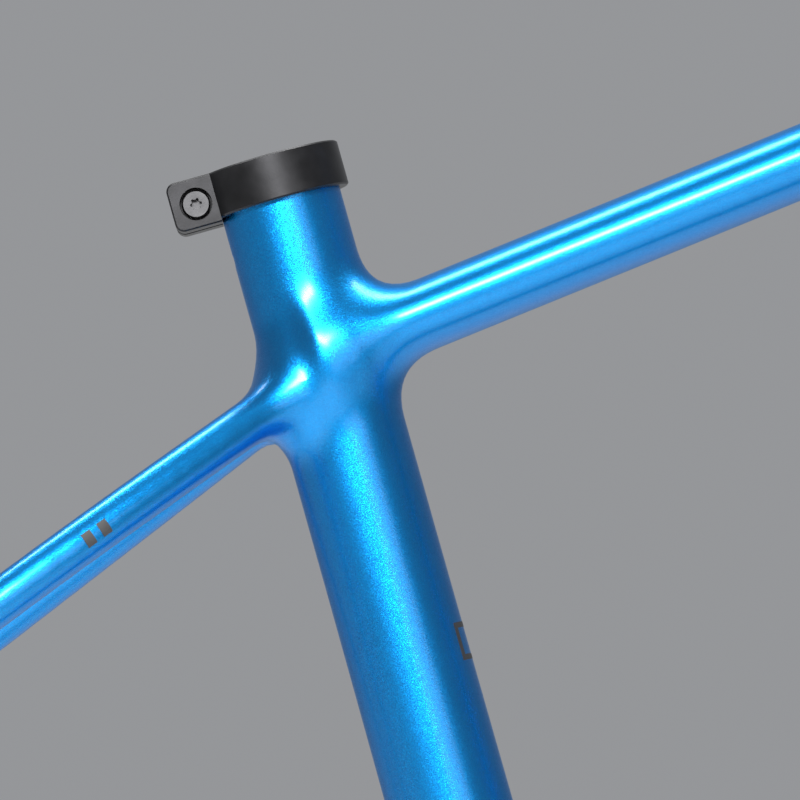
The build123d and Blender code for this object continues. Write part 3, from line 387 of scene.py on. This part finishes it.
def dropout(side):
    """A dropout plate with the tapered ends of its two stays, and a boss on the left one."""
    low, high = sorted((side * DROPOUT_INNER, side * DROPOUT_OUTER))
    hub = (AXLE[0], AXLE[2], HUB_RADIUS)
    origin = AXLE + [0, side * DROPOUT_MIDDLE, 0]
    seat_rows = [(0, 11, 14.7, 2.2), (1, 7, 12.7, 2.2)]
    chain_rows = [(0, 12, 19, 2.2), (1, 8, 17, 2.2)]
    seat_tip = Tube([origin + [19, 0, 36], origin + [8, 0, 25]], seat_rows, BLEND_TIP)
    chain_tip = Tube([origin + [36, 0, -8.4], origin + [16, 0, -4]], chain_rows, BLEND_TIP)
    seat_arm = Plate(hub, (AXLE[0] + 8, AXLE[2] + 25, 7.5), low, high)
    chain_arm = Plate(hub, (AXLE[0] + 24, AXLE[2] - 6, 9.5), low, high)
    if side == RIGHT:
        return [seat_tip, chain_tip, seat_arm, chain_arm]
    boss_ends = [(DROPOUT_INNER + at, BOSS_RADIUS) for at in (-BOSS_HEIGHT, BOSS_HEIGHT)]
    boss = Barrel(AXLE, ACROSS, boss_ends, BLEND_BOSS)
    return [seat_tip, chain_tip, seat_arm, chain_arm, boss]


PAINTED_NODES = [
    "head_tube",
    "top_tube",
    "down_tube",
    "seat_tube",
    "bottom_bracket_shell",
    *[f"{part}_{side}" for part in ("chainstay", "seatstay", "dropout") for side in ("right", "left")],
]


def painted_parts():
    half = BB_WIDTH / 2 + TRIM
    bottom_bracket = Barrel(CRANK_AXIS, ACROSS, [(-half, BB_RADIUS), (half, BB_RADIUS)])
    parts = [bottom_bracket, seat_tube(), down_tube(), top_tube(), head_tube()]
    for side in (LEFT, RIGHT):
        parts += [seatstay(side), chainstay(side), *dropout(side)]
    return parts


# ---------------------------------------------------------------- from field to mesh
def grid_surface(field, low, high, cell):
    """Quads around the zero level of a field, by surface nets on a grid refined near it."""
    coarse = 4
    counts = np.ceil((high - low) / (cell * coarse)).astype(int) * coarse + 1
    axes = [low[axis] + cell * np.arange(counts[axis]) for axis in range(3)]
    blocks = [axis[::coarse] for axis in axes]
    corners = np.stack(np.meshgrid(*blocks, indexing="ij"), -1)
    block_distance = field(corners.reshape(-1, 3)).reshape(corners.shape[:3])
    values = np.repeat(np.repeat(np.repeat(block_distance, coarse, 0), coarse, 1), coarse, 2)
    values = values[: counts[0], : counts[1], : counts[2]].copy()
    near = np.argwhere(np.abs(values) < cell * coarse * 1.8)
    exact = np.empty(len(near))
    for start in range(0, len(near), 200_000):
        part = near[start : start + 200_000]
        exact[start : start + 200_000] = field(low + cell * part)
    values[tuple(near.T)] = exact
    inside = values < 0
    cells = np.full(np.array(inside.shape) - 1, -1, np.int64)
    corner_count = sum(
        inside[dx : dx + cells.shape[0], dy : dy + cells.shape[1], dz : dz + cells.shape[2]].astype(np.int8)
        for dx in (0, 1)
        for dy in (0, 1)
        for dz in (0, 1)
    )
    crossed = (corner_count > 0) & (corner_count < 8)
    cells[crossed] = np.arange(crossed.sum())
    points = low + cell * (np.argwhere(crossed) + 0.5)
    quads = []
    for axis in range(3):
        first, second = (axis + 1) % 3, (axis + 2) % 3
        here = np.moveaxis(inside, (axis, first, second), (0, 1, 2))
        numbers = np.moveaxis(cells, (axis, first, second), (0, 1, 2))
        start, end = here[:-1, 1:-1, 1:-1], here[1:, 1:-1, 1:-1]
        a, b, c, d = numbers[:, :-1, :-1], numbers[:, 1:, :-1], numbers[:, 1:, 1:], numbers[:, :-1, 1:]
        for leaving, order in ((start & ~end, (a, b, c, d)), (end & ~start, (d, c, b, a))):
            quads.append(np.stack([corner[leaving] for corner in order], 1))
    return points, np.concatenate(quads)


def neighbour_mean(points, quads):
    """The middle of each vertex's neighbours along its quads' edges."""
    total = np.zeros_like(points)
    count = np.zeros(len(points))
    for corner in range(4):
        here, there = quads[:, corner], quads[:, (corner + 1) % 4]
        for a, b in ((here, there), (there, here)):
            count += np.bincount(a, minlength=len(points))
            for axis in range(3):
                total[:, axis] += np.bincount(a, points[b, axis], len(points))
    return total / count[:, None]


def onto_surface(field, points, rounds):
    for _ in range(rounds):
        distance, normal = field(points)
        normal /= np.maximum(np.linalg.norm(normal, axis=1, keepdims=True), 1e-9)
        points = points - np.clip(distance, -CELL, CELL)[:, None] * normal
    return points


def skin_mesh(parts):
    """The painted surface: quads even in size, with every vertex on the soft union."""
    margin = 4 * CELL
    corners = np.array([corner for name in PAINTED_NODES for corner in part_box(name)]) / MM

    def distance_only(points):
        return soft_union(parts, points)[0]

    def field(points):
        return soft_union(parts, points)

    low, high = corners.min(0) - TRIM - margin, corners.max(0) + TRIM + margin
    points, quads = grid_surface(distance_only, low, high, CELL)
    for _ in range(5):
        points = onto_surface(field, points, 1)
        points += 0.6 * (neighbour_mean(points, quads) - points)
    return onto_surface(field, points, 3), quads


def mesh_object(name, points, faces):
    mesh = bpy.data.meshes.new(name)
    mesh.from_pydata(np.asarray(points) * MM, [], np.asarray(faces).tolist())
    mesh.update()
    piece = bpy.data.objects.new(name, mesh)
    scene.collection.objects.link(piece)
    return piece


def shaded(piece, angle=30):
    """Smooth shading with the edges above an angle kept sharp."""
    piece.data.shade_smooth()
    piece.data.set_sharp_from_angle(angle=math.radians(angle))
    return piece


def local_frame(origin, axis):
    """The matrix that takes local z to the axis, and local y to +Y where it can."""
    z = unit(axis)
    x = unit(np.cross(ACROSS, z)) if abs(z[1]) < 0.99 else np.array([1.0, 0.0, 0.0])
    y = np.cross(z, x)
    matrix = Matrix.Identity(4)
    for column, vector in enumerate((x, y, z, origin)):
        for row in range(3):
            matrix[row][column] = vector[row]
    return matrix


def cylinder(radius, low, high, origin, axis, segments=96):
    """A closed cylinder for cutting, from low to high along an axis."""
    shape = bmesh.new()
    bmesh.ops.create_cone(
        shape, cap_ends=True, segments=segments, radius1=radius, radius2=radius, depth=high - low
    )
    bmesh.ops.translate(shape, verts=shape.verts, vec=(0, 0, (low + high) / 2))
    bmesh.ops.transform(shape, verts=shape.verts, matrix=local_frame(origin, axis))
    return shape


def box(low, high, origin, axis):
    """A closed box for cutting, between two corners in a local frame."""
    shape = bmesh.new()
    bmesh.ops.create_cube(shape, size=1)
    size = np.subtract(high, low)
    bmesh.ops.scale(shape, verts=shape.verts, vec=size)
    bmesh.ops.translate(shape, verts=shape.verts, vec=np.add(low, high) / 2)
    bmesh.ops.transform(shape, verts=shape.verts, matrix=local_frame(origin, axis))
    return shape


def cut(piece, shapes):
    """Takes every shape away from the piece."""
    for shape in shapes:
        mesh = bpy.data.meshes.new("cutter")
        bmesh.ops.scale(shape, verts=shape.verts, vec=(MM, MM, MM))
        shape.to_mesh(mesh)
        shape.free()
        cutter = bpy.data.objects.new("cutter", mesh)
        scene.collection.objects.link(cutter)
        modifier = piece.modifiers.new("cut", "BOOLEAN")
        modifier.operation = "DIFFERENCE"
        modifier.solver = "MANIFOLD"
        modifier.object = cutter
        bpy.context.view_layer.update()
        evaluated = piece.evaluated_get(bpy.context.evaluated_depsgraph_get())
        result = bpy.data.meshes.new_from_object(evaluated)
        piece.modifiers.remove(modifier)
        old = piece.data
        piece.data = result
        bpy.data.meshes.remove(old)
        bpy.data.objects.remove(cutter)
        bpy.data.meshes.remove(mesh)
    return piece


# ---------------------------------------------------------------- the painted skin
def end_cutters():
    """Cylinders that cut the tubes' open ends flat, where they run on past them."""
    ends = [  # radius of the cutter, middle of the flat end, direction out of it
        (30, SEAT_TOP, SEAT_UP),
        (45, HEAD_TOP, HEAD_UP),
        (33, HEAD_BOTTOM, -HEAD_UP),
        (32, ACROSS * BB_WIDTH / 2, ACROSS),
        (32, -ACROSS * BB_WIDTH / 2, -ACROSS),
    ]
    return [cylinder(radius, 0, 2 * TRIM, middle, out) for radius, middle, out in ends]


def bore_cutters():
    """Cylinders and a slot for every bore and hole in the painted tubes."""
    past = 1.0  # how far a cutter stands out of the face that it opens
    through = -HEAD_TUBE_LENGTH - past
    slot_end = SEAT_TOP - SEAT_UP * SLOT_DEPTH
    backwards = np.cross(SEAT_UP, ACROSS)
    slot_low = (-20, -SLOT_WIDTH / 2, -SLOT_DEPTH)
    slot_high = (0, SLOT_WIDTH / 2, past)
    outer = DROPOUT_OUTER + 5
    cutters = [
        cylinder(POST_RADIUS, -POST_DEPTH, past, SEAT_TOP, SEAT_UP),
        box(slot_low, slot_high, SEAT_TOP, SEAT_UP),
        cylinder(SLOT_HOLE_RADIUS, 0, 30, slot_end, backwards, 32),
        cylinder(HEAD_PASSAGE_RADIUS, through, past, HEAD_TOP, HEAD_UP),
        cylinder(UPPER_SEAT_RADIUS, -HEAD_SEAT_DEPTH, past, HEAD_TOP, HEAD_UP),
        cylinder(LOWER_SEAT_RADIUS, -HEAD_SEAT_DEPTH, past, HEAD_BOTTOM, -HEAD_UP),
        cylinder(BB_BORE, -BB_WIDTH, BB_WIDTH, CRANK_AXIS, ACROSS),
        cylinder(HANGER_BORE, DROPOUT_INNER - 5, outer, AXLE, -ACROSS),
        cylinder(AXLE_BORE, DROPOUT_INNER - 10, outer, AXLE, ACROSS, 64),
    ]
    holes = {"bottle": (INSERT_HOLE, -12, 12), "cable_port": (PORT_HOLE, -30, 12)}
    for name, mount in mounts.items():
        place = np.array(mount["pos_m"]) / MM
        for start, hole in holes.items():
            if name.startswith(start):
                cutters.append(cylinder(*hole, place, mount["axis"], 32))
    return cutters


def painted_skin(parts):
    points, quads = skin_mesh(parts)
    skin = mesh_object("painted_frame", points, quads)
    cut(skin, [*end_cutters(), *bore_cutters()])
    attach(shaded(skin, 35), "frame")
    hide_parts(*PAINTED_NODES)
    return skin


def marks(parts, material):
    """Plain black marks: two bars on the right seatstay and one open box on the seat tube."""
    stay, bar = seatstay(RIGHT), 3.0
    for number, start in enumerate((87.0, 92.4)):
        decal(f"stay_mark_{number + 1}", material, parts, stay, (start, start + bar), (155, 189))
    low, high, stroke = 277.8, 288.8, 1.6
    bars = [((low, high), (-122, -116)), ((low, high), (-64, -58))]
    bars += [((low, low + stroke), (-116, -64)), ((high - stroke, high), (-116, -64))]
    for number, (runs, angles) in enumerate(bars):
        decal(f"seat_tube_mark_{number + 1}", material, parts, seat_tube(), runs, angles)


def decal(name, material, parts, tube, runs, angles):
    """A thin mark that lies on a tube, between two runs along it and two angles round it."""
    rows, columns = 8, 12
    shares = np.linspace(0, 1, rows), np.linspace(0, 1, columns)
    share_along, share_round = np.meshgrid(*shares, indexing="ij")
    run = runs[0] + (runs[1] - runs[0]) * share_along.ravel()
    angle = np.radians(angles[0] + (angles[1] - angles[0]) * share_round.ravel())
    across, up = tube.read(tube.side, run), tube.read(tube.up, run)
    out = np.cos(angle)[:, None] * across + np.sin(angle)[:, None] * up
    reach = tube.read(tube.form, run)[:, :2].max(1)[:, None] + 1
    start = tube.read(tube.centre, run) + out * reach

    def field(points):
        return soft_union(parts, points)

    surface = onto_surface(field, start, 12)
    normal = field(surface)[1]
    normal /= np.linalg.norm(normal, axis=1, keepdims=True)
    proud, sunk = 0.07, 0.1
    layers = np.concatenate([surface + normal * proud, surface - normal * sunk])
    count = rows * columns
    faces = []
    for row in range(rows - 1):
        for column in range(columns - 1):
            a = row * columns + column
            quad = [a, a + 1, a + columns + 1, a + columns]
            faces.append(quad)
            faces.append([count + corner for corner in reversed(quad)])
    rim = list(range(columns))
    rim += [row * columns + columns - 1 for row in range(1, rows)]
    rim += [(rows - 1) * columns + column for column in range(columns - 2, -1, -1)]
    rim += [row * columns for row in range(rows - 2, 0, -1)]
    for here, there in zip(rim, rim[1:] + rim[:1]):
        faces.append([there, here, count + here, count + there])
    piece = mesh_object(name, layers, faces)
    shape = bmesh.new()
    shape.from_mesh(piece.data)
    bmesh.ops.recalc_face_normals(shape, faces=shape.faces)
    shape.to_mesh(piece.data)
    shape.free()
    piece.data.materials.append(material)
    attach(shaded(piece), "frame")


# ---------------------------------------------------------------- materials
def new_material(name, color, **values):
    """A material and its shader node, with the shader's inputs set by name."""
    material = bpy.data.materials.new(name)
    material.use_nodes = True
    shader = material.node_tree.nodes["Principled BSDF"]
    shader.inputs["Base Color"].default_value = (*color, 1)
    for key, value in values.items():
        shader.inputs[key.replace("_", " ")].default_value = value
    return material, shader


def add(material, kind, **settings):
    """A node with its properties and its unlinked inputs set."""
    node = material.node_tree.nodes.new("ShaderNode" + kind)
    for key, value in settings.items():
        if key in node.inputs:
            node.inputs[key].default_value = value
        elif hasattr(node, key):
            setattr(node, key, value)
        else:
            node.inputs[key.replace("_", " ")].default_value = value
    return node


def link(material, source, target):
    material.node_tree.links.new(source, target)


def place(material):
    return add(material, "TexCoord").outputs["Object"]


def noise(material, scale, detail=3.0, roughness=0.55):
    node = add(material, "TexNoise", Scale=scale, Detail=detail, Roughness=roughness)
    link(material, place(material), node.inputs["Vector"])
    return node.outputs["Fac"]


def ranged(material, source, low, high):
    """A 0 to 1 value spread over another range."""
    node = add(material, "MapRange", To_Min=low, To_Max=high)
    link(material, source, node.inputs["Value"])
    return node.outputs["Result"]


def bumped(material, source, strength, distance):
    node = add(material, "Bump", Strength=strength, Distance=distance)
    link(material, source, node.inputs["Height"])
    return node.outputs["Normal"]


def tinted(material, source, dark, light, low=0.3, high=0.7):
    """A colour between dark and light, by a 0 to 1 value."""
    node = add(material, "ValToRGB")
    ramp = node.color_ramp.elements
    ramp[0].position, ramp[1].position = low, high
    ramp[0].color, ramp[1].color = (*dark, 1), (*light, 1)
    link(material, source, node.inputs["Fac"])
    return node.outputs["Color"]


def blue_paint():
    """Metallic blue: flakes that each face a little their own way, under a satin clear coat."""
    material, shader = new_material(
        "paint_blue",
        (0.0004, 0.19, 0.52),
        Metallic=0.95,
        Roughness=0.34,
        Specular_Tint=(0.2, 0.6, 1.0, 1.0),
        Coat_Weight=0.5,
        Coat_Roughness=0.2,
        Coat_IOR=1.5,
    )
    flakes = add(material, "TexVoronoi", Scale=9500.0)
    link(material, place(material), flakes.inputs["Vector"])
    tilt = add(material, "VectorMath", operation="SUBTRACT")
    tilt.inputs[1].default_value = (0.5, 0.5, 0.5)
    link(material, flakes.outputs["Color"], tilt.inputs[0])
    small = add(material, "VectorMath", operation="SCALE", Scale=0.26)
    link(material, tilt.outputs["Vector"], small.inputs[0])
    surface = add(material, "NewGeometry")
    total = add(material, "VectorMath", operation="ADD")
    link(material, surface.outputs["Normal"], total.inputs[0])
    link(material, small.outputs["Vector"], total.inputs[1])
    facing = add(material, "VectorMath", operation="NORMALIZE")
    link(material, total.outputs["Vector"], facing.inputs[0])
    link(material, facing.outputs["Vector"], shader.inputs["Normal"])
    separate = add(material, "SeparateColor")
    link(material, flakes.outputs["Color"], separate.inputs["Color"])
    dark, light = (0.0003, 0.14, 0.43), (0.002, 0.28, 0.64)
    color = tinted(material, separate.outputs["Green"], dark, light, 0.15, 1.0)
    link(material, color, shader.inputs["Base Color"])
    roughness = ranged(material, noise(material, 60, 4), 0.3, 0.37)
    link(material, roughness, shader.inputs["Roughness"])
    return material


def grained(name, dark, light, scale, bump, roughness, **values):
    """A plain material with fine grain: colour, roughness and bump all vary a little."""
    material, shader = new_material(name, dark, **values)
    fine = noise(material, scale, 5)
    broad = noise(material, scale / 18, 3)
    link(material, tinted(material, broad, dark, light), shader.inputs["Base Color"])
    link(material, ranged(material, broad, *roughness), shader.inputs["Roughness"])
    link(material, bumped(material, fine, 0.35, bump), shader.inputs["Normal"])
    return material


def anodised():
    """Blasted and black-anodised aluminium."""
    colors = (0.012, 0.012, 0.013), (0.022, 0.022, 0.024)
    shine = {"Metallic": 0.75, "Specular_IOR_Level": 0.6}
    return grained("anodised_black", *colors, 2200, 0.00003, (0.3, 0.42), **shine)


def steel():
    """Dark plated steel."""
    colors = (0.05, 0.05, 0.052), (0.085, 0.085, 0.088)
    return grained("steel", *colors, 1500, 0.00002, (0.28, 0.4), Metallic=1.0)


def bearing_steel():
    colors = (0.5, 0.5, 0.52), (0.62, 0.62, 0.64)
    return grained("bearing_steel", *colors, 900, 0.00001, (0.12, 0.2), Metallic=1.0)


def rubber():
    colors = (0.012, 0.012, 0.012), (0.03, 0.03, 0.03)
    return grained("rubber", *colors, 900, 0.00008, (0.65, 0.85))


def black_plastic():
    colors = (0.018, 0.018, 0.019), (0.03, 0.03, 0.032)
    return grained("black_plastic", *colors, 1300, 0.00005, (0.42, 0.55))


def dress(materials):
    """Gives every carried-over node the material of its slot."""
    for part in frame["record"]["subparts"]:
        mesh = nodes[part["node"]].data
        mesh.materials.clear()
        mesh.materials.append(materials[part["material_slot"]])


# ---------------------------------------------------------------- floor, light and camera
def floor_stage():
    """A wide pale floor, where the ground is under a frame with its wheels on."""
    half_width, height = 30, -0.31
    shape = bmesh.new()
    bmesh.ops.create_grid(shape, x_segments=1, y_segments=1, size=half_width)
    bmesh.ops.translate(shape, verts=shape.verts, vec=(0, 0, height))
    mesh = bpy.data.meshes.new("floor")
    shape.to_mesh(mesh)
    shape.free()
    floor = bpy.data.objects.new("floor", mesh)
    scene.collection.objects.link(floor)
    material, _ = new_material("floor", (0.86, 0.86, 0.85), Roughness=0.7)
    mesh.materials.append(material)


def area_light(name, place_at, aim, size, power):
    light = bpy.data.lights.new(name, "AREA")
    light.shape = "RECTANGLE"
    light.size, light.size_y = size
    light.energy = power
    lamp = bpy.data.objects.new(name, light)
    lamp.visible_camera = False
    lamp.location = place_at
    lamp.rotation_euler = (Vector(aim) - Vector(place_at)).to_track_quat("-Z", "Y").to_euler()
    scene.collection.objects.link(lamp)


def lights():
    """Three soft area lights on the seat cluster, and a pale even surround."""
    cluster = (-0.09, 0, 0.35)
    area_light("key", (-0.36, -1.65, 1.02), cluster, (0.8, 0.3), 54)
    area_light("overhead", (0.0, 0.3, 1.85), cluster, (2.4, 0.4), 44)
    area_light("fill_right", (0.62, -1.65, 0.42), cluster, (1.0, 0.9), 6)
    world = bpy.data.worlds.new("studio")
    world.use_nodes = True
    surround = world.node_tree.nodes["Background"].inputs
    surround["Color"].default_value = (0.94, 0.96, 1.0, 1)
    surround["Strength"].default_value = 0.32
    scene.world = world
    scene.view_settings.view_transform = "Standard"


def camera():
    """Looks square at the drive side of the seat cluster, from a little below it."""
    target = Vector((-0.079, 0, 0.346))
    width, distance, rise = 0.2286, 2.4, math.radians(-3)
    data = bpy.data.cameras.new("camera")
    data.sensor_width = 36
    data.lens = data.sensor_width * distance / width
    data.clip_end = 100
    view = bpy.data.objects.new("camera", data)
    view.location = target + distance * Vector((0, -math.cos(rise), math.sin(rise)))
    view.rotation_euler = (target - view.location).to_track_quat("-Z", "Y").to_euler()
    scene.collection.objects.link(view)
    scene.camera = view


parts = painted_parts()
skin = painted_skin(parts)
paint = blue_paint()
skin.data.materials.clear()
skin.data.materials.append(paint)
materials = {
    "paint_blue": paint,
    "anodised_black": anodised(),
    "steel": steel(),
    "bearing_steel": bearing_steel(),
    "rubber": rubber(),
    "black_plastic": black_plastic(),
}
dress(materials)
marks(parts, materials["black_plastic"])
floor_stage()
lights()
camera()
